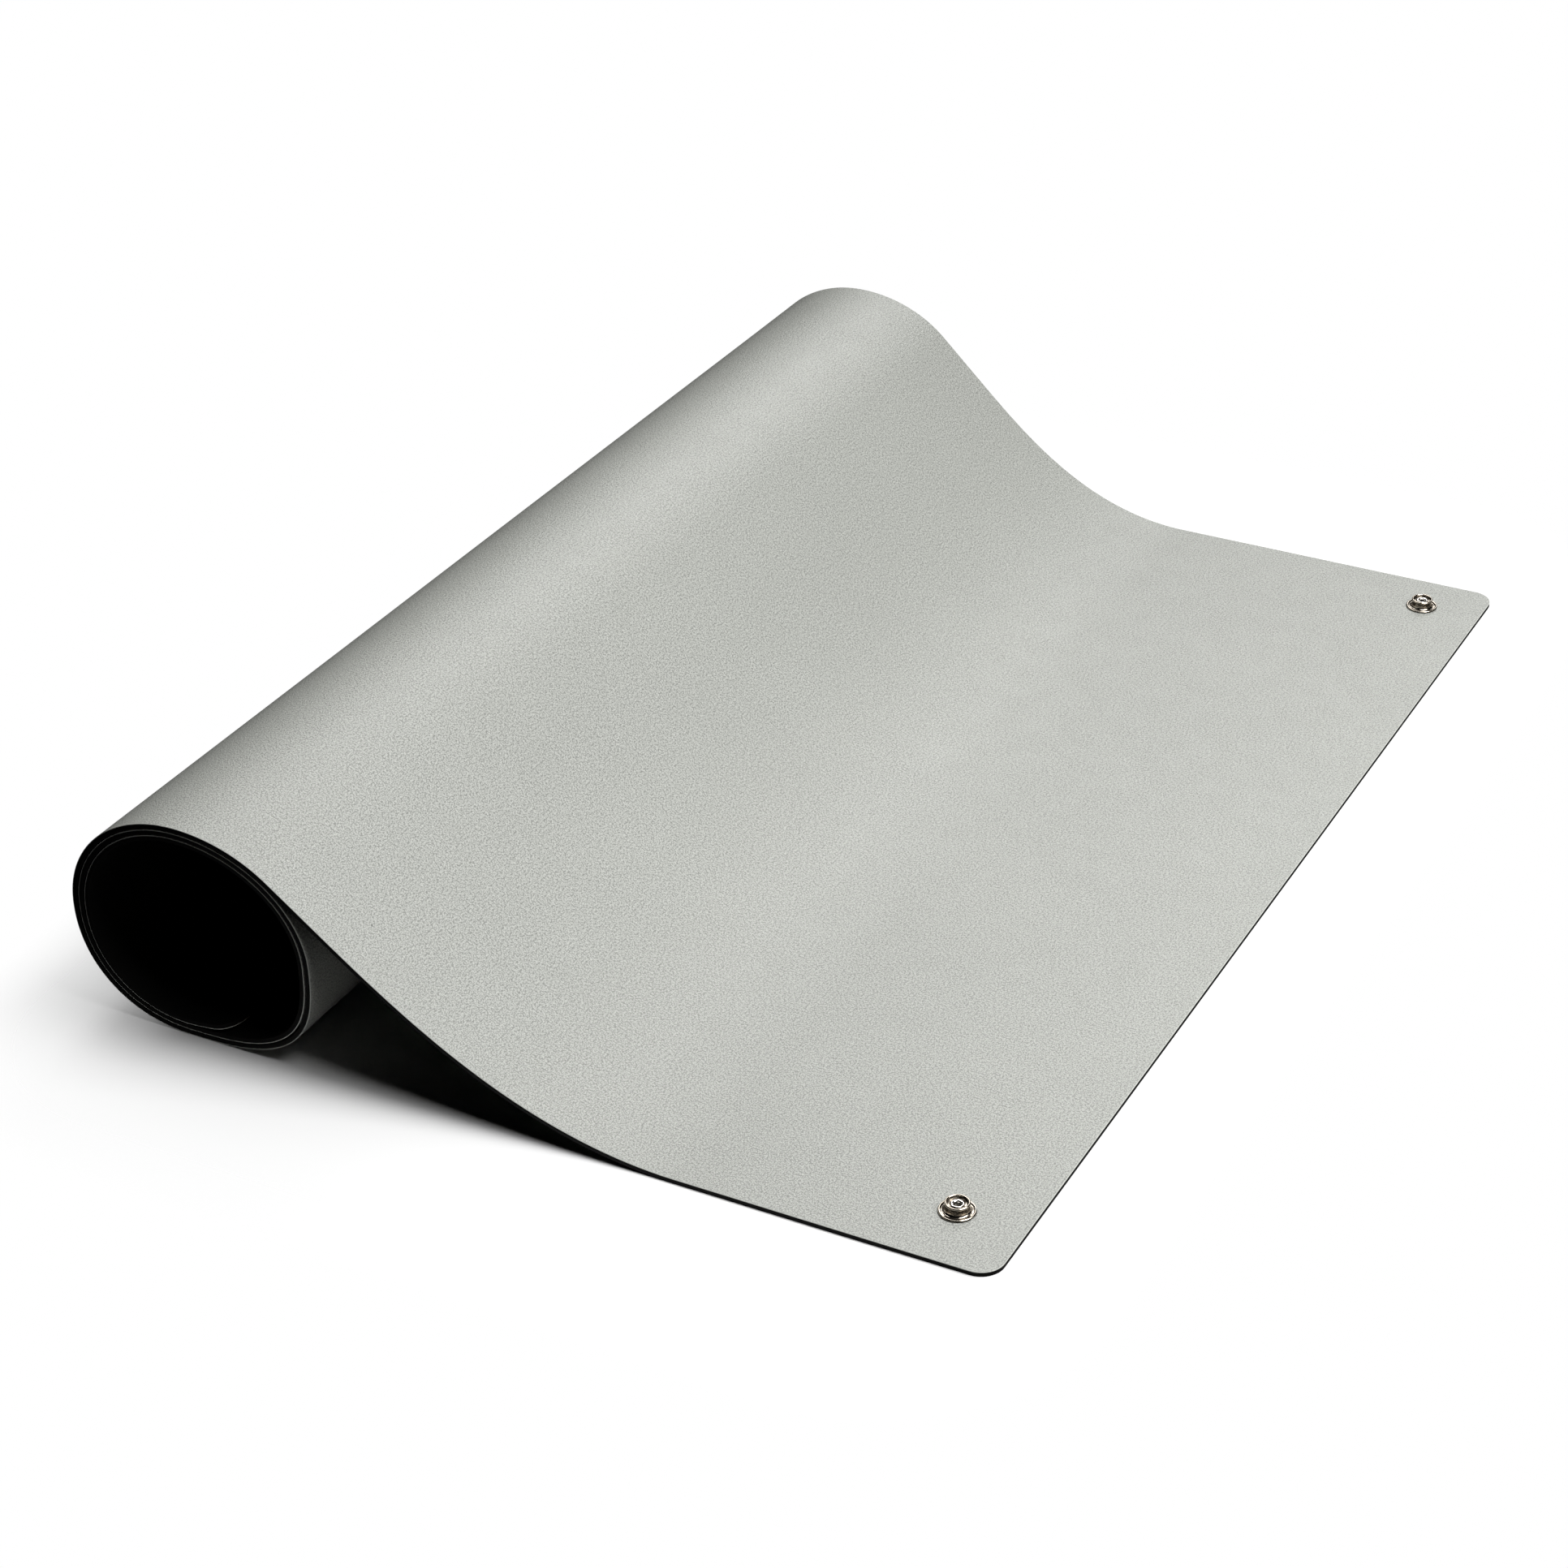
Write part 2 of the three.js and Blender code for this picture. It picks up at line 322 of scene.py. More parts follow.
class Sheet:
    """Where each point of the unrolled sheet lies"""

    def __init__(self, mat):
        self.sizes = mat.sheet
        self.fineness = mat.fineness
        sizes = self.sizes
        pieces = self.fineness.line
        self.thickness = sizes.face_thickness + sizes.base_thickness
        self.near = EdgeCourse(
            sizes, pieces, sizes.near_flat_run, sizes.near_bend_run, sizes.near_slope, sizes.near_crest
        )
        self.far = EdgeCourse(
            sizes, pieces, sizes.far_flat_run, sizes.far_bend_run, sizes.far_slope, sizes.far_crest
        )
        self.free_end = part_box(BASE_NODE)[1][0]

    def stations(self, inset):
        """Distances along the sheet, for an outline drawn in by an inset"""
        sizes = self.sizes
        count = self.fineness.corner
        turns = [math.pi / 2 * i / count for i in range(count)]
        corner = [inset + (sizes.corner_radius - inset) * (1 - math.cos(turn)) for turn in turns]
        straight = sizes.cut_length - 2 * sizes.corner_radius
        steps = self.fineness.along
        middle = [sizes.corner_radius + straight * i / steps for i in range(steps + 1)]
        return corner + middle + [sizes.cut_length - value for value in reversed(corner)]

    def columns(self):
        """Shares of the width, with one column close to each cut edge to keep the face flat there"""
        steps = self.fineness.across
        support = EDGE_SUPPORT * self.sizes.arris / self.sizes.cut_width
        inner = [i / steps for i in range(1, steps)]
        return [0.0, support] + inner + [1 - support, 1.0]

    def edge_inset(self, distance, inset):
        """How far an outline drawn in by an inset keeps from the long edges"""
        radius = self.sizes.corner_radius - inset
        from_end = min(distance, self.sizes.cut_length - distance) - inset
        short = max(radius - from_end, 0.0)
        return inset + radius - math.sqrt(max(radius * radius - short * short, 0.0))

    def ripple(self, distance, across):
        """How far a faint wave lifts the sheet here"""
        fade = smooth_step(*RIPPLE_IN, distance) * (1 - smooth_step(*RIPPLE_OUT, distance))
        place = Vector((distance, across * RIPPLE_ROWS, 0)) / self.sizes.ripple_length
        return self.sizes.ripple_height * fade * (0.5 + 0.5 * noise.noise(place))

    def rows(self, depth, inset):
        """The points at one depth below the grey face, row by row, with their flat places"""
        sizes = self.sizes
        for distance in self.stations(inset):
            past = max(distance - (sizes.cut_length - sizes.end_lift_run), 0.0) / sizes.end_lift_run
            sunk = depth + sizes.end_lift * past * past
            near, near_facing = self.near.at(distance)
            far, far_facing = self.far.at(distance)
            margin = self.edge_inset(distance, inset)
            row = []
            for part in self.columns():
                across = margin + part * (sizes.cut_width - 2 * margin)
                below = sunk - self.ripple(distance, across)
                blend = across / sizes.cut_width
                point = (near - near_facing * below).lerp(far - far_facing * below, blend)
                place = (self.free_end + point.x, across - sizes.cut_width / 2, point.y)
                row.append((place, (distance, across, depth)))
            yield row


# Meshes

# The bake map: both faces of a layer above each other, then rows for the four cut edges and the holes
MAP_MARGIN = 0.01
MAP_SCALE = 0.94
SIDE_ROW = 0.952
SIDE_ROW_STEP = 0.009
SIDE_STRETCH = 3.0
HOLE_ROW = 0.99
HOLE_ROW_HEIGHT = 0.004
HOLE_ROW_SHARE = 0.1

# The slots of a layer's two materials
FACE_SLOT = 0
CUT_SLOT = 1


class LayerMesh:
    """One rubber layer as a closed mesh: two gridded faces, joined round the outline by rings"""

    def __init__(self, sheet, outer_depth, inner_depth, rounded):
        self.sheet = sheet
        self.points = []
        self.flat = []
        self.faces = []
        self.maps = []
        self.kinds = []
        self.row_count = len(sheet.stations(0.0))
        self.column_count = len(sheet.columns())
        self.top = outer_depth

        rings = self.ring_levels(outer_depth, inner_depth, rounded)
        outer = self.add_grid(*rings[0])
        loops = [[outer + at for at in self.outline()]]
        for depth, inset in rings[1:-1]:
            loops.append(self.add_ring(depth, inset))
        inner = self.add_grid(*rings[-1])
        loops.append([inner + at for at in self.outline()])

        self.face_grid(outer, False)
        self.face_grid(inner, True)
        for upper, lower in zip(loops, loops[1:]):
            self.face_ring(upper, lower)

    def ring_levels(self, outer_depth, inner_depth, rounded):
        """Depths and insets from the outer face down the cut edge to the inner face"""
        arris = self.sheet.sizes.arris
        steps = self.sheet.fineness.arris
        turns = [math.pi / 2 * i / steps for i in range(steps + 1)]
        curve = [(arris * (1 - math.cos(turn)), arris * (1 - math.sin(turn))) for turn in turns]
        if rounded == "outer":
            return [(outer_depth + down, inset) for down, inset in curve] + [(inner_depth, 0.0)]
        return [(outer_depth, 0.0)] + [(inner_depth - down, inset) for down, inset in reversed(curve)]

    def outline(self):
        """Grid indices round the outline: free end, far edge, rolled end, near edge"""
        rows = self.row_count - 1
        columns = self.column_count
        free = list(range(columns - 1))
        far = [i * columns + columns - 1 for i in range(rows)]
        rolled = [rows * columns + i for i in range(columns - 1, 0, -1)]
        near = [i * columns for i in range(rows, 0, -1)]
        return free + far + rolled + near

    def add_grid(self, depth, inset):
        first = len(self.points)
        for row in self.sheet.rows(depth, inset):
            for place, flat in row:
                self.points.append(place)
                self.flat.append(flat)
        return first

    def add_ring(self, depth, inset):
        cells = [cell for row in self.sheet.rows(depth, inset) for cell in row]
        first = len(self.points)
        for at in self.outline():
            place, flat = cells[at]
            self.points.append(place)
            self.flat.append(flat)
        return list(range(first, len(self.points)))

    def face_grid(self, first, inner):
        columns = self.column_count
        lift = MAP_SCALE / 2 if inner else 0.0
        for i in range(self.row_count - 1):
            for j in range(columns - 1):
                a = first + i * columns + j
                corners = [a, a + columns, a + columns + 1, a + 1]
                if not inner:
                    corners.reverse()
                self.faces.append(corners)
                self.maps.append([self.face_map(self.flat[at], lift) for at in corners])
                self.kinds.append(FACE_SLOT)

    def face_map(self, flat, lift):
        scale = MAP_SCALE / self.sheet.sizes.cut_length
        return MAP_MARGIN + flat[0] * scale, MAP_MARGIN + lift + flat[1] * scale

    def face_ring(self, upper, lower):
        """The strip between two rings. Each side of the outline has its own row of the map"""
        ends = self.column_count - 1
        edges = self.row_count - 1
        starts = [0, ends, ends + edges, 2 * ends + edges]
        for i, a in enumerate(upper):
            after = (i + 1) % len(upper)
            corners = [a, upper[after], lower[after], lower[i]]
            side = bisect_right(starts, i) - 1
            axis = 1 if side in (0, 2) else 0
            self.faces.append(corners)
            self.maps.append([self.side_map(self.flat[at], side, axis) for at in corners])
            self.kinds.append(CUT_SLOT)

    def side_map(self, flat, side, axis):
        scale = MAP_SCALE / self.sheet.sizes.cut_length
        down = (flat[2] - self.top) * scale * SIDE_STRETCH
        return MAP_MARGIN + flat[axis] * scale, SIDE_ROW + side * SIDE_ROW_STEP + down

    def build(self, name):
        mesh = bpy.data.meshes.new(name)
        mesh.from_pydata(self.points, [], self.faces)
        place = mesh.attributes.new(FLAT_PLACE, "FLOAT_VECTOR", "POINT")
        place.data.foreach_set("vector", [value for flat in self.flat for value in flat])
        bake = mesh.uv_layers.new(name=BAKE_MAP)
        bake.data.foreach_set("uv", [value for corners in self.maps for pair in corners for value in pair])
        mesh.polygons.foreach_set("material_index", self.kinds)
        mesh.polygons.foreach_set("use_smooth", [True] * len(self.faces))
        mesh.validate()
        mesh.update()
        return add_object(name, mesh)


def add_object(name, data):
    piece = bpy.data.objects.new(name, data)
    bpy.context.scene.collection.objects.link(piece)
    return piece


def arc(centre, radius, start, end, steps):
    """Points of an arc in a turned profile, angles in degrees from the outward direction"""
    points = []
    for i in range(steps + 1):
        angle = math.radians(start + (end - start) * i / steps)
        points.append((centre[0] + radius * math.cos(angle), centre[1] + radius * math.sin(angle)))
    return points


def sweep(start, control, end, steps):
    """Points of a quadratic curve in a turned profile"""
    points = []
    for i in range(steps + 1):
        t = i / steps
        weights = ((1 - t) ** 2, 2 * t * (1 - t), t * t)
        points.append(tuple(sum(w * p[k] for w, p in zip(weights, (start, control, end))) for k in (0, 1)))
    return points


def turned_mesh(name, profile, sides, wander=None):
    """A closed profile of (radius, height, grime and painted shade) turned about Z"""
    points = []
    grime_and_shade = []
    for i in range(sides):
        turn = math.tau * i / sides
        for radius, height, dirt_and_shade in profile:
            reach = radius + (wander(turn, radius, height) if wander else 0.0)
            points.append((reach * math.cos(turn), reach * math.sin(turn), height))
            grime_and_shade.append(dirt_and_shade)
    count = len(profile)
    faces = []
    for i in range(sides):
        here = i * count
        after = (i + 1) % sides * count
        for j in range(count):
            k = (j + 1) % count
            faces.append((here + j, after + j, after + k, here + k))
    mesh = bpy.data.meshes.new(name)
    mesh.from_pydata(points, [], faces)
    mesh.attributes.new(GRIME_AND_SHADE, "FLOAT", "POINT").data.foreach_set("value", grime_and_shade)
    mesh.polygons.foreach_set("use_smooth", [True] * len(faces))
    mesh.validate()
    mesh.update()
    return mesh


def seat_of(node):
    """The middle of a turned node and the height that it stands on"""
    low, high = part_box(node)
    return Vector(((low[0] + high[0]) / 2, (low[1] + high[1]) / 2, low[2]))


def grimed_and_shaded(points, first, last=None):
    """Points of a profile with their grime and painted shade, 0 to 1, which may change evenly from the first
    to the last
    """
    last = first if last is None else last
    steps = max(len(points) - 1, 1)
    return [(*point, first + (last - first) * i / steps) for i, point in enumerate(points)]


def stud_profile(stud, steps):
    """The press stud's section: flange with a rolled rim, swept collar, beaded edge and dish"""
    metal = stud.metal
    rim = stud.rim_height / 2
    hole = stud.post_radius + stud.clearance
    bead = (stud.bead_radius - stud.bead_roll, stud.height - stud.bead_roll)
    under_bead = -math.degrees(math.acos((stud.neck_radius - bead[0]) / stud.bead_roll))
    dish_radius = stud.bead_radius - 2 * stud.bead_roll
    floor = stud.dish_height
    rim_run = (stud.flange_radius - stud.rim_height, stud.rim_height)
    neck_inside = stud.neck_radius - metal

    # The third value is grime and painted shade: a painted contact shadow under the rim, painted shade in
    # the groove, at the collar's foot, under the bead, in the dish and down the hole, and painted dark
    # reflections on the collar
    profile = grimed_and_shaded([(stud.foot_radius - metal, 0.0)], 1.0)
    profile += grimed_and_shaded(arc((stud.flange_radius - rim, rim), rim, -90, 0, steps), 1.0, 0.6)
    profile += grimed_and_shaded(arc((stud.flange_radius - rim, rim), rim, 0, 90, steps)[1:], 0.5, 0.05)
    profile += grimed_and_shaded(
        sweep((stud.flange_radius - rim, 2 * rim), rim_run, (stud.groove_radius, metal), steps)[1:], 0.0, 0.4
    )
    neck_top = (stud.neck_radius, stud.neck_height)
    collar = sweep((stud.foot_radius, metal), (stud.neck_radius, metal), neck_top, 2 * steps)
    profile += grimed_and_shaded(collar[:steps], 0.7, 0.2)
    profile += grimed_and_shaded(collar[steps:], 0.35, 0.6)
    profile += grimed_and_shaded(arc(bead, stud.bead_roll, under_bead, 0, steps), 0.8, 0.2)
    profile += grimed_and_shaded(arc(bead, stud.bead_roll, 0, 180, steps)[1:], 0.0)
    dish_edge = (dish_radius, floor + metal)
    profile += grimed_and_shaded([dish_edge], 0.55)
    dish_corner = sweep(dish_edge, (dish_radius, floor), (dish_radius - metal, floor), steps)
    profile += grimed_and_shaded(dish_corner[1:], 0.6)
    profile += grimed_and_shaded([(hole, floor), (hole, floor - metal), (neck_inside, floor - metal)], 0.8)
    inner_foot = (stud.foot_radius - metal, 0.0)
    inside = sweep((neck_inside, stud.neck_height), (neck_inside, 0.0), inner_foot, steps)
    profile += grimed_and_shaded(inside[:-1], 1.0)
    return profile


# Grime on the rivet's rolled lip, and the painted shade that darkens its bore more and more further down
LIP_GRIME = 0.1
BORE_PAINTED_SHADE = 1.2


def rivet_profile(stud, seat, steps):
    """The rivet's section: a round-edged disc and a hollow post, rolled over at its top"""
    edge = stud.disc_thickness / 2
    flare_from = seat + stud.dish_height
    flare_to = flare_from + stud.flare_height
    lip = stud.flare_height / 2
    profile = grimed_and_shaded([(stud.post_bore, 0.0)], 0.5)
    profile += grimed_and_shaded(arc((stud.disc_radius - edge, edge), edge, -90, 90, steps), 0.0)
    profile += grimed_and_shaded([(stud.post_radius, stud.disc_thickness), (stud.post_radius, flare_from)], 0.3)
    profile += grimed_and_shaded(arc((stud.flare_radius - lip, flare_from + lip), lip, -90, 90, steps), LIP_GRIME)
    bore = sweep(
        (stud.flare_radius - lip, flare_to),
        (stud.post_bore, flare_to),
        (stud.post_bore, flare_from - stud.flare_height),
        2 * steps,
    )
    # Painted shade: the bore's tarnish grows further down
    for i, (radius, height) in enumerate(bore[1:], 1):
        profile.append((radius, height, min(1.0, LIP_GRIME + BORE_PAINTED_SHADE * i / len(bore))))
    return profile


# Finishes

class Nodes:
    """Adds and links the nodes of one material"""

    def __init__(self, name):
        self.material = bpy.data.materials.new(name)
        self.material.use_nodes = True
        self.tree = self.material.node_tree
        self.shader = self.tree.nodes["Principled BSDF"]

    def add(self, kind, inputs=None, **settings):
        """A node with its settings, and its inputs by name or number: a value or another node's socket"""
        node = self.tree.nodes.new("ShaderNode" + kind)
        for name, value in settings.items():
            setattr(node, name, value)
        for key, value in (inputs or {}).items():
            self.put(node.inputs[key], value)
        return node

    def put(self, socket, value):
        if isinstance(value, bpy.types.NodeSocket):
            self.tree.links.new(value, socket)
        else:
            socket.default_value = value

    def set(self, **inputs):
        """Sets the shader's own inputs, written with _ for a space"""
        for name, value in inputs.items():
            self.put(self.shader.inputs[name.replace("_", " ")], value)

    def math(self, operation, *values):
        node = self.add("Math", operation=operation)
        for i, value in enumerate(values):
            self.put(node.inputs[i], value)
        return node.outputs[0]

    def range(self, value, from_low, from_high, low, high):
        inputs = {"Value": value, "From Min": from_low, "From Max": from_high, "To Min": low, "To Max": high}
        return self.add("MapRange", inputs).outputs["Result"]

    def mix(self, part, first, second, blend="MIX"):
        """A blend of two colours. The mix node keeps its colour sockets after those for plain numbers"""
        node = self.add("Mix", data_type="RGBA", blend_type=blend)
        self.put(node.inputs["Factor"], part)
        self.put(node.inputs[6], first)
        self.put(node.inputs[7], second)
        return node.outputs[2]

    def noise(self, vector, scale, detail=2.0, roughness=0.5):
        inputs = {"Vector": vector, "Scale": scale, "Detail": detail, "Roughness": roughness}
        return self.add("TexNoise", inputs).outputs["Fac"]

    def vector(self, operation, first, second=None, output="Vector"):
        """A step of vector arithmetic"""
        inputs = {0: first} if second is None else {0: first, 1: second}
        return self.add("VectorMath", inputs, operation=operation).outputs[output]

    def bump(self, height, distance, normal=None):
        node = self.add("Bump", {"Height": height, "Distance": distance, "Strength": 1.0})
        if normal:
            self.put(node.inputs["Normal"], normal)
        return node.outputs["Normal"]

    def attribute(self, name, output="Vector"):
        return self.add("Attribute", attribute_name=name).outputs[output]


WHITE = (1.0, 1.0, 1.0)


def rgba(shade, scale=1.0):
    return (*(scale * value for value in shade), 1.0)


# Dust specks on the grey face: distance from the free end, distance from the near edge, length and
# width in millimetres, and turn in degrees
SPECKS = (
    (297.6, 23.7, 1.5, 0.5, 55.0),
    (283.4, 440.9, 0.6, 0.5, 0.0),
    (268.9, 310.5, 0.6, 0.4, 20.0),
    (241.6, 65.8, 0.5, 0.4, 70.0),
    (357.3, 316.4, 0.5, 0.5, 0.0),
    (387.6, 114.0, 0.6, 0.4, 120.0),
    (325.3, 102.2, 0.5, 0.4, 10.0),
    (315.4, 108.6, 0.4, 0.4, 0.0),
    (362.6, 16.7, 0.5, 0.4, 40.0),
    (212.5, 11.1, 0.5, 0.4, 90.0),
)
# A speck is whole up to its core and fades out at its rim, in its own radii
SPECK_CORE = 0.6
SPECK_RIM = 1.15

# The middle of a noise's colour
MIDDLE = (0.5, 0.5, 0.5)
# How far pebbles of the grain are pushed out of line, in pebbles
PEBBLE_PUSH = 0.5
# Painted shade and painted light of the grain: how much its pits are painted darker and its pebbles lighter
PIT_PAINTED_SHADE = 0.65
PEBBLE_PAINTED_LIGHT = 1.35
# The relief between which that painted shade changes, and how far slow clouds shift it
PAINTED_SHADE_RELIEF = (-0.32, 0.18)
CLOUD_SHIFT = 0.3


def leather_grain(nodes, place, size):
    """The embossed grain as a height around 0.5: rounded pebbles, uneven in height and shape"""
    wobble = nodes.add("TexNoise", {"Vector": place, "Scale": 0.9 / size, "Detail": 1.0}).outputs["Color"]
    push = nodes.add("VectorMath", {0: nodes.vector("SUBTRACT", wobble, MIDDLE)}, operation="SCALE")
    push.inputs["Scale"].default_value = PEBBLE_PUSH * size
    spot = nodes.vector("ADD", place, push.outputs[0])
    pebbles = nodes.add(
        "TexVoronoi", {"Vector": spot, "Scale": 1.0 / size, "Randomness": 0.9}, voronoi_dimensions="2D"
    ).outputs["Distance"]
    domes = nodes.range(pebbles, 0.0, 0.6, 1.0, 0.0)
    uneven = nodes.noise(place, 0.8 / size, 1.0)
    return nodes.math("ADD", nodes.math("MULTIPLY", domes, 0.5), nodes.math("MULTIPLY", uneven, 0.5))


def speck_mask(nodes, place):
    """1 inside a dust speck and 0 elsewhere"""
    total = None
    for along, across, long, wide, turn in SPECKS:
        mapped = nodes.add("Mapping", {"Vector": place}, vector_type="TEXTURE")
        mapped.inputs["Location"].default_value = (along * MM, across * MM, 0.0)
        mapped.inputs["Rotation"].default_value = (0.0, 0.0, math.radians(turn))
        mapped.inputs["Scale"].default_value = (long * MM / 2, wide * MM / 2, 1.0)
        reach = nodes.vector("LENGTH", mapped.outputs[0], output="Value")
        inside = nodes.range(reach, SPECK_CORE, SPECK_RIM, 1.0, 0.0)
        total = nodes.math("MAXIMUM", total, inside) if total else inside
    return total


def grey_rubber(finish):
    """The grey face: a fine leather emboss in stronger and weaker patches, semi-matt, a little mottled, with
    painted shade in the grain's pits and painted light on its pebbles
    """
    nodes = Nodes("grey_rubber_face")
    place = nodes.attribute(FLAT_PLACE)
    size = finish.grain_size
    grain = leather_grain(nodes, place, size)
    patches = nodes.noise(place, 70.0, 2.0, 0.6)
    depth = nodes.range(patches, 0.3, 0.7, 0.85, 1.0)
    relief = nodes.math("MULTIPLY", nodes.math("SUBTRACT", grain, 0.5), depth)
    specks = speck_mask(nodes, place)

    mottle = nodes.noise(place, 9.0, 4.0, 0.6)
    shade = nodes.range(mottle, 0.3, 0.7, 0.0, 1.0)
    tone = nodes.mix(shade, rgba(finish.face, 0.975), rgba(finish.face, 1.02))
    # Painted shade and light: the colour is darkened in the grain's pits and lightened on its pebbles
    painted_light = nodes.range(relief, *PAINTED_SHADE_RELIEF, 0.0, 1.0)
    cloud = nodes.noise(place, 0.7 / size, 1.0)
    painted_light = nodes.math("ADD", painted_light, nodes.range(cloud, 0.25, 0.75, -CLOUD_SHIFT, CLOUD_SHIFT))
    painted_cavity_shade = nodes.mix(painted_light, rgba(WHITE, PIT_PAINTED_SHADE), rgba(WHITE, PEBBLE_PAINTED_LIGHT))
    painted_shaded_tone = nodes.mix(1.0, tone, painted_cavity_shade, "MULTIPLY")
    tone = nodes.mix(specks, painted_shaded_tone, rgba(finish.speck))

    gloss = nodes.range(patches, 0.3, 0.7, finish.face_roughness - 0.04, finish.face_roughness + 0.05)
    nodes.set(Base_Color=tone, Roughness=gloss, Specular_IOR_Level=0.5)
    nodes.set(Normal=nodes.bump(relief, finish.grain_depth))
    return nodes.material


def grey_edge(finish):
    """The cut edge of the grey layer: sliced, not embossed, and painted lighter than the face as a painted
    highlight
    """
    nodes = Nodes("grey_rubber_cut")
    place = nodes.attribute(FLAT_PLACE)
    pulled = nodes.noise(place, 2600.0, 3.0, 0.6)
    # Painted highlight: the cut edge's colour is set well lighter than the face, so the thin edges show as
    # bright lines
    tone = nodes.mix(pulled, rgba(finish.face, 1.5), rgba(finish.face, 1.9))
    nodes.set(Base_Color=tone, Roughness=0.7, Specular_IOR_Level=0.3)
    nodes.set(Normal=nodes.bump(pulled, 0.03 * MM))
    return nodes.material


def black_rubber(finish):
    """The underside: matt black with the fine print of the press cloth and a bloom of dust"""
    nodes = Nodes("black_rubber_back")
    place = nodes.attribute(FLAT_PLACE)
    cloth = nodes.add(
        "TexVoronoi", {"Vector": place, "Scale": 1100.0, "Smoothness": 0.4}, feature="SMOOTH_F1"
    ).outputs["Distance"]
    bloom = nodes.noise(place, 14.0, 5.0, 0.65)
    haze = nodes.range(bloom, 0.45, 0.75, 0.0, 0.5)
    tone = nodes.mix(haze, rgba(finish.base), rgba(finish.base, 1.8))
    nodes.set(Base_Color=tone, Specular_IOR_Level=0.08)
    nodes.set(Roughness=nodes.range(bloom, 0.3, 0.7, 0.62, 0.74))
    nodes.set(Normal=nodes.bump(cloth, 0.03 * MM))
    return nodes.material


# Blade marks to the metre along the sheet, across it and down its thickness
BLADE_LINES = (60.0, 60.0, 5200.0)


def black_edge(finish):
    """The cut edge of the black layer: a sliced, slightly pitted face with blade lines along it"""
    nodes = Nodes("black_rubber_cut")
    place = nodes.attribute(FLAT_PLACE)
    pits = nodes.noise(place, 2400.0, 3.0, 0.65)
    lines = nodes.vector("MULTIPLY", place, BLADE_LINES)
    blade = nodes.noise(lines, 1.0, 2.0, 0.5)
    height = nodes.math("ADD", nodes.math("MULTIPLY", pits, 0.7), nodes.math("MULTIPLY", blade, 0.5))
    tone = nodes.mix(nodes.range(pits, 0.45, 0.7, 0.0, 1.0), rgba(finish.base, 0.6), rgba(finish.base, 2.6))
    nodes.set(Base_Color=tone, Roughness=nodes.range(pits, 0.3, 0.7, 0.5, 0.68))
    nodes.set(Specular_IOR_Level=0.05, Normal=nodes.bump(height, 0.05 * MM))
    return nodes.material


def nickel_plate(finish):
    """Bright nickel with faint turning marks, turned to tarnish where the points carry grime and painted
    shade: painted shade in hollows and under rims, and painted dark reflections on the collars
    """
    nodes = Nodes("nickel_plate")
    spot = nodes.add("TexCoord").outputs["Object"]
    grime_and_shade = nodes.attribute(GRIME_AND_SHADE, "Fac")
    smudge = nodes.noise(spot, 420.0, 3.0, 0.6)
    patchy = nodes.math("ADD", grime_and_shade, nodes.math("MULTIPLY", nodes.math("SUBTRACT", smudge, 0.5), 1.4))
    dirt_and_shade = nodes.range(patchy, 0.3, 0.75, 0.0, 1.0)
    tone = nodes.mix(dirt_and_shade, rgba(finish.nickel), rgba(finish.tarnish_and_shade))
    rings = nodes.add(
        "TexWave",
        {"Vector": spot, "Scale": 900.0, "Distortion": 1.5, "Detail": 2.0},
        wave_type="RINGS",
        rings_direction="Z",
    ).outputs["Fac"]
    rough = nodes.math("ADD", nodes.range(smudge, 0.3, 0.7, 0.06, 0.14), nodes.math("MULTIPLY", dirt_and_shade, 0.3))
    nodes.set(Base_Color=tone, Metallic=1.0, Roughness=rough)
    worn = nodes.bump(smudge, 0.012 * MM)
    nodes.set(Normal=nodes.bump(rings, 0.0012 * MM, worn))
    return nodes.material


def studio_paper(finish):
    """Pale paper that melts into the white backdrop away from the mat"""
    nodes = Nodes("studio_paper")
    spot = nodes.add("TexCoord").outputs["Object"]
    tooth = nodes.noise(spot, 900.0, 2.0)
    edge = (cad_box[1][0] - PAPER_TUCK, cad_box[1][1], 1.0)
    past = nodes.vector("SUBTRACT", nodes.vector("ABSOLUTE", spot), edge)
    past = nodes.vector("MAXIMUM", past, (0.0, 0.0, 0.0))
    away = nodes.vector("LENGTH", past, output="Value")
    nodes.set(Base_Color=rgba(finish.floor), Roughness=0.9, Specular_IOR_Level=0.1)
    nodes.set(Alpha=nodes.range(away, 0.0, PAPER_GONE, 1.0, 0.0))
    nodes.set(Normal=nodes.bump(tooth, 0.02 * MM))
    return nodes.material


# Operators

HOLE_SIDES = 64
# How far round a hole its finish is mended, in radii of the hole
HOLE_MARGIN = 1.5
# A face that leans less than this from upright belongs to a hole's wall
UPRIGHT = 0.5


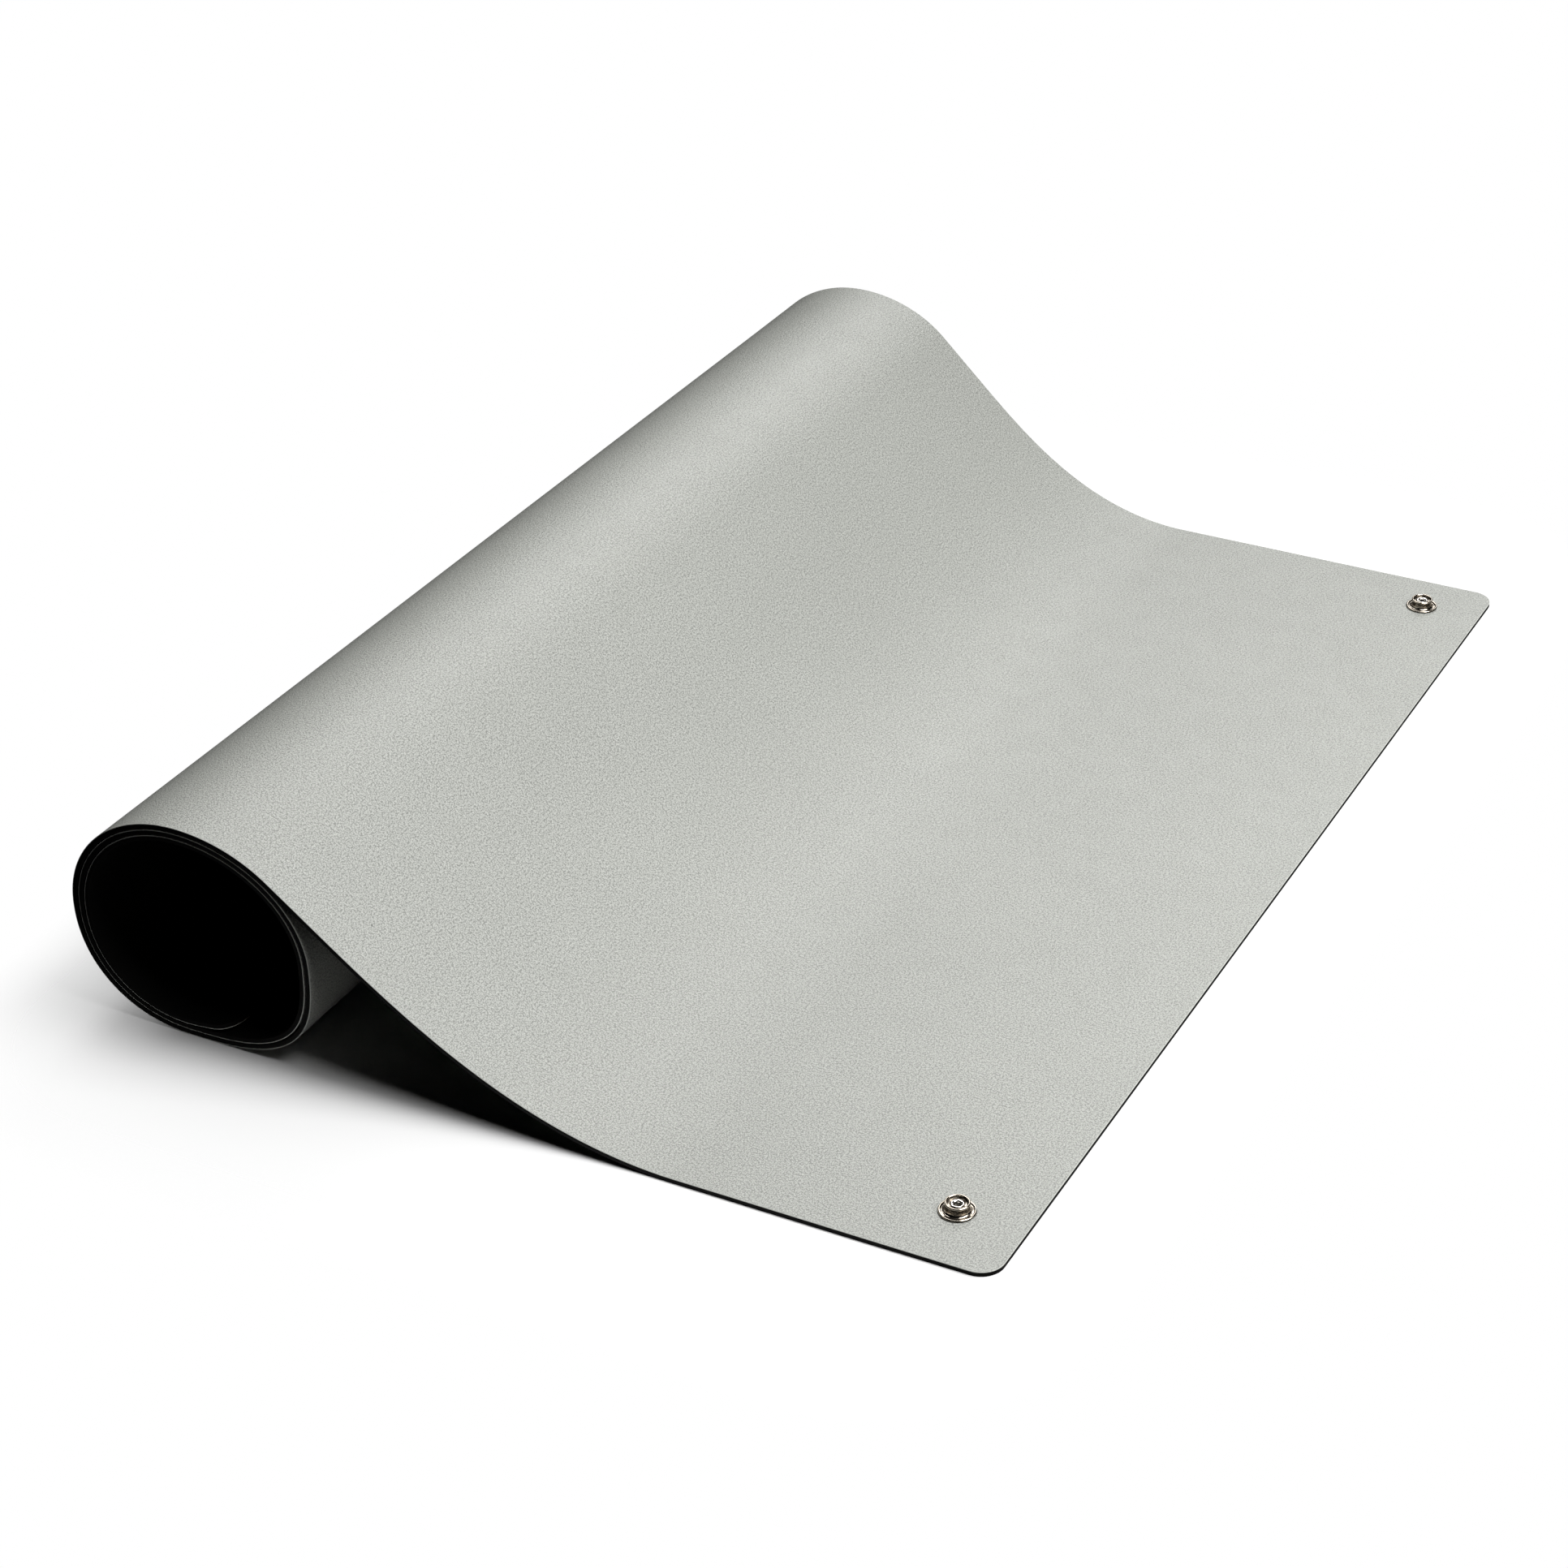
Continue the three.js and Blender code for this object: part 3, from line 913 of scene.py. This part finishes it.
def cut_hole(piece, centre, radius, low, high):
    """Cuts a round hole with its own place in the bake map, and leaves no cutter behind"""
    sides = HOLE_SIDES
    points = []
    for height in (low, high):
        for i in range(sides):
            turn = math.tau * i / sides
            points.append((centre.x + radius * math.cos(turn), centre.y + radius * math.sin(turn), height))
    faces = [(i, (i + 1) % sides, sides + (i + 1) % sides, sides + i) for i in range(sides)]
    faces += [tuple(range(sides - 1, -1, -1)), tuple(range(sides, 2 * sides))]
    mesh = bpy.data.meshes.new("cutter")
    mesh.from_pydata(points, [], faces)
    bake = mesh.uv_layers.new(name=BAKE_MAP)
    for loop, corner in zip(mesh.loops, bake.data):
        point = Vector(mesh.vertices[loop.vertex_index].co) - centre
        turn = math.atan2(point.y, point.x) / math.tau + 0.5
        row = HOLE_ROW + (HOLE_ROW_HEIGHT if point.z > low else 0.0)
        corner.uv = (MAP_MARGIN + MAP_SCALE * turn * HOLE_ROW_SHARE, row)
    cutter = add_object("cutter", mesh)
    modifier = piece.modifiers.new("hole", "BOOLEAN")
    modifier.operation = "DIFFERENCE"
    modifier.solver = "EXACT"
    modifier.object = cutter
    settled = bpy.data.meshes.new_from_object(piece.evaluated_get(bpy.context.evaluated_depsgraph_get()))
    piece.modifiers.clear()
    piece.data = settled
    bpy.data.objects.remove(cutter)
    bpy.data.meshes.remove(mesh)


def kept_places(mesh):
    """The points of a layer in a search tree, and their flat places, which a cut drops"""
    tree = kdtree.KDTree(len(mesh.vertices))
    for vertex in mesh.vertices:
        tree.insert(vertex.co, vertex.index)
    tree.balance()
    return tree, [Vector(item.vector) for item in mesh.attributes[FLAT_PLACE].data]


def restore_flat_places(mesh, sheet, kept, centres, reach):
    """Gives a cut layer its flat places back. Round the holes the sheet lies flat, which gives them"""
    tree, before = kept
    places = mesh.attributes[FLAT_PLACE].data
    half = sheet.sizes.cut_width / 2
    for vertex, place in zip(mesh.vertices, places):
        if any((vertex.co.xy - centre.xy).length < reach for centre in centres) and vertex.co.z < reach:
            x, y, z = vertex.co
            place.vector = (sheet.free_end - x, y + half, sheet.thickness - z)
        else:
            place.vector = before[tree.find(vertex.co)[1]]


def mark_hole_walls(mesh, centres, reach):
    """Gives the upright walls of the holes the finish of a cut edge"""
    for face in mesh.polygons:
        close = any((face.center.xy - centre.xy).length < reach for centre in centres)
        if close and face.center.z < reach and abs(face.normal.z) < UPRIGHT:
            face.material_index = CUT_SLOT


def finish_sheet(piece, sheet, materials, cuts):
    """Sets the materials of a layer, cuts its holes and keeps its cut edges crisp"""
    for material in materials:
        piece.data.materials.append(material)
    kept = kept_places(piece.data)
    centres = [seat_of("rivet_" + side) for side in SIDES]
    for radius, low, high in cuts:
        for centre in centres:
            cut_hole(piece, centre, radius, low, high)
    reach = HOLE_MARGIN * max(radius for radius, low, high in cuts)
    restore_flat_places(piece.data, sheet, kept, centres, reach)
    mark_hole_walls(piece.data, centres, reach)
    piece.data.set_sharp_from_angle(angle=CREASE)
    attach(piece, "root")


class BENCHMAT_OT_face_sheet(Operator):
    """Makes the thin grey dissipative layer, embossed on its outer face"""

    bl_idname = "benchmat.face_sheet"
    bl_label = "Grey Face Sheet"

    def execute(self, context):
        mat = context.scene.bench_mat
        sheet = Sheet(mat)
        layer = LayerMesh(sheet, 0.0, mat.sheet.face_thickness, "outer")
        piece = layer.build("grey_face_sheet")
        hole = mat.stud.post_radius + mat.stud.clearance
        materials = (grey_rubber(mat.finish), grey_edge(mat.finish))
        finish_sheet(piece, sheet, materials, [(hole, 0.0, 2 * sheet.thickness)])
        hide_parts(FACE_NODE)
        return {"FINISHED"}


class BENCHMAT_OT_base_sheet(Operator):
    """Makes the thick black conductive layer under the grey one, recessed for the rivets"""

    bl_idname = "benchmat.base_sheet"
    bl_label = "Black Base Sheet"

    def execute(self, context):
        mat = context.scene.bench_mat
        sheet = Sheet(mat)
        layer = LayerMesh(sheet, mat.sheet.face_thickness, sheet.thickness, "inner")
        piece = layer.build("black_base_sheet")
        stud = mat.stud
        hole = stud.post_radius + stud.clearance
        recess = stud.disc_radius + stud.clearance
        materials = (black_rubber(mat.finish), black_edge(mat.finish))
        cuts = [(hole, -MM, 2 * sheet.thickness), (recess, -MM, stud.disc_thickness)]
        finish_sheet(piece, sheet, materials, cuts)
        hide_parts(BASE_NODE)
        return {"FINISHED"}


def seat_turned(name, mesh, node, material):
    """Puts a turned metal piece where its node stands"""
    piece = add_object(name, mesh)
    piece.location = seat_of(node)
    piece.data.materials.append(material)
    piece.data.set_sharp_from_angle(angle=CREASE)
    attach(piece, "root")
    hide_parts(node)


class BENCHMAT_OT_press_studs(Operator):
    """Makes the two press studs at the corners of the flat end"""

    bl_idname = "benchmat.press_studs"
    bl_label = "Press Studs"

    def execute(self, context):
        mat = context.scene.bench_mat
        material = nickel_plate(mat.finish)
        profile = stud_profile(mat.stud, mat.fineness.arc)
        for side in SIDES:
            name = "press_stud_" + side
            mesh = turned_mesh(name, profile, mat.fineness.sides)
            seat_turned(name, mesh, "stud_" + side, material)
        return {"FINISHED"}


# How far the lobes of the far rivet's uneven end are shifted from the near one's, in radians
WANDER_SHIFT = 1.7


class BENCHMAT_OT_rivets(Operator):
    """Makes the hollow rivets that hold the studs, their ends rolled over a little unevenly"""

    bl_idname = "benchmat.rivets"
    bl_label = "Rivets"

    def execute(self, context):
        mat = context.scene.bench_mat
        stud = mat.stud
        material = bpy.data.materials.get("nickel_plate") or nickel_plate(mat.finish)
        seat = mat.sheet.face_thickness + mat.sheet.base_thickness
        flare_from = seat + stud.dish_height
        profile = rivet_profile(stud, seat, mat.fineness.arc)
        for number, side in enumerate(SIDES):
            def wander(turn, radius, height, phase=number * WANDER_SHIFT):
                """How far the rolled-over end strays from round"""
                lobes = math.sin(5 * turn + phase) + 0.6 * math.sin(8 * turn + 2 * phase)
                outer = smooth_step(stud.post_radius, stud.flare_radius, radius)
                return stud.flare_wander * outer * lobes if height >= flare_from else 0.0

            name = "hollow_rivet_" + side
            mesh = turned_mesh(name, profile, mat.fineness.sides, wander)
            seat_turned(name, mesh, "rivet_" + side, material)
        return {"FINISHED"}


# The studio. The camera stands where the photograph was taken from, in metres
CAMERA_PLACE = Vector((0.62119, -1.25268, 0.83164))
CAMERA_AZIMUTH = math.radians(27.679)
CAMERA_ELEVATION = math.radians(30.751)
CAMERA_ROLL = math.radians(-0.714)
FOCAL_PIXELS = 4401.356
FRAME_PIXELS = 1932
SENSOR_MM = 36.0
FLOOR_REACH = 12.0

# Soft lights: azimuth from +X towards +Y and elevation in degrees, distance and size in metres, watts
AIM = Vector((0.0, 0.0, 0.03))
LIGHTS = (
    ("overhead", 0.0, 60.0, 4.8, 2.4, 134.0),
    ("overhead_left", 135.0, 60.0, 4.8, 2.4, 52.0),
    ("key", 0.0, 65.0, 1.1, 0.6, 9.2),
    ("right", 0.0, 40.0, 1.1, 0.6, 3.7),
    ("back_high", 110.0, 38.0, 3.0, 0.9, 9.4),
    ("back_low", 95.0, 28.0, 3.0, 0.9, 6.3),
)

# The paper melts into the white backdrop over PAPER_GONE metres, from the mat's long edges and
# from PAPER_TUCK metres inside its two ends
PAPER_TUCK = 0.05
PAPER_GONE = 0.1


def add_camera():
    """A camera at the photograph's place, turned a little about its own line of sight"""
    camera = bpy.data.cameras.new("camera")
    camera.sensor_width = SENSOR_MM
    camera.lens = SENSOR_MM * FOCAL_PIXELS / FRAME_PIXELS
    camera.clip_end = 4 * FLOOR_REACH
    back = Vector(
        (
            math.sin(CAMERA_AZIMUTH) * math.cos(CAMERA_ELEVATION),
            -math.cos(CAMERA_AZIMUTH) * math.cos(CAMERA_ELEVATION),
            math.sin(CAMERA_ELEVATION),
        )
    )
    right = Vector((0, 0, 1)).cross(back).normalized()
    up = back.cross(right)
    turned_right = right * math.cos(CAMERA_ROLL) + up * math.sin(CAMERA_ROLL)
    turned_up = up * math.cos(CAMERA_ROLL) - right * math.sin(CAMERA_ROLL)
    turn = Matrix((turned_right, turned_up, back)).transposed().to_4x4()
    piece = add_object("camera", camera)
    piece.matrix_world = Matrix.Translation(CAMERA_PLACE) @ turn
    bpy.context.scene.camera = piece


def add_light(name, azimuth, elevation, distance, size, watts):
    """A round soft light that points at the mat"""
    light = bpy.data.lights.new(name, "AREA")
    light.shape = "DISK"
    light.size = size
    light.energy = watts
    way = Vector((math.cos(math.radians(azimuth)), math.sin(math.radians(azimuth)), 0))
    way = way * math.cos(math.radians(elevation)) + Vector((0, 0, math.sin(math.radians(elevation))))
    piece = add_object(name, light)
    piece.location = AIM + way * distance
    piece.rotation_euler = way.to_track_quat("Z", "Y").to_euler()


def add_backdrop():
    """A white surround that the camera sees and that lights nothing"""
    world = bpy.data.worlds.new("studio_air")
    world.use_nodes = True
    world.node_tree.nodes["Background"].inputs["Color"].default_value = (1.0, 1.0, 1.0, 1.0)
    bpy.context.scene.world = world
    world.cycles_visibility.diffuse = False
    world.cycles_visibility.glossy = False


class BENCHMAT_OT_studio(Operator):
    """Makes the pale floor, the soft lights and the camera"""

    bl_idname = "benchmat.studio"
    bl_label = "Studio"

    def execute(self, context):
        scene = context.scene
        reach = FLOOR_REACH
        mesh = bpy.data.meshes.new("studio_floor")
        corners = [(-reach, -reach, 0), (reach, -reach, 0), (reach, reach, 0), (-reach, reach, 0)]
        mesh.from_pydata(corners, [], [(0, 1, 2, 3)])
        floor = add_object("studio_floor", mesh)
        floor.data.materials.append(studio_paper(scene.bench_mat.finish))
        floor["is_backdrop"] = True
        for light in LIGHTS:
            add_light(*light)
        add_backdrop()
        scene.view_settings.view_transform = "Standard"
        add_camera()
        return {"FINISHED"}


class BENCHMAT_PT_sidebar(Panel):
    """The bench mat's tools, in the order in which they are used"""

    bl_idname = "BENCHMAT_PT_sidebar"
    bl_label = "Bench Mat"
    bl_space_type = "VIEW_3D"
    bl_region_type = "UI"
    bl_category = "Bench Mat"

    def draw(self, context):
        for operator in OPERATORS:
            self.layout.operator(operator.bl_idname)
        for name in ("sheet", "stud", "finish", "fineness"):
            group = getattr(context.scene.bench_mat, name)
            box = self.layout.box()
            box.label(text=name.title())
            for key in group.__annotations__:
                box.prop(group, key)


GROUPS = (SheetSizes, StudSizes, Finishes, Fineness, BenchMat)
OPERATORS = (
    BENCHMAT_OT_studio,
    BENCHMAT_OT_face_sheet,
    BENCHMAT_OT_base_sheet,
    BENCHMAT_OT_press_studs,
    BENCHMAT_OT_rivets,
)
CLASSES = GROUPS + OPERATORS + (BENCHMAT_PT_sidebar,)


def register():
    for entry in CLASSES:
        bpy.utils.register_class(entry)
    bpy.types.Scene.bench_mat = PointerProperty(type=BenchMat)


def unregister():
    del bpy.types.Scene.bench_mat
    for entry in reversed(CLASSES):
        bpy.utils.unregister_class(entry)


def write_sizes():
    """Puts the CAD box and the visual model's box into plain numbers"""
    boxes = {"cad": cad_box, "visual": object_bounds()}
    plain = {name: [[float(value) for value in corner] for corner in box] for name, box in boxes.items()}


def main():
    register()
    bpy.ops.benchmat.studio()
    bpy.ops.benchmat.face_sheet()
    bpy.ops.benchmat.base_sheet()
    bpy.ops.benchmat.press_studs()
    bpy.ops.benchmat.rivets()
    write_sizes()


if __name__ == "__main__":
    main()
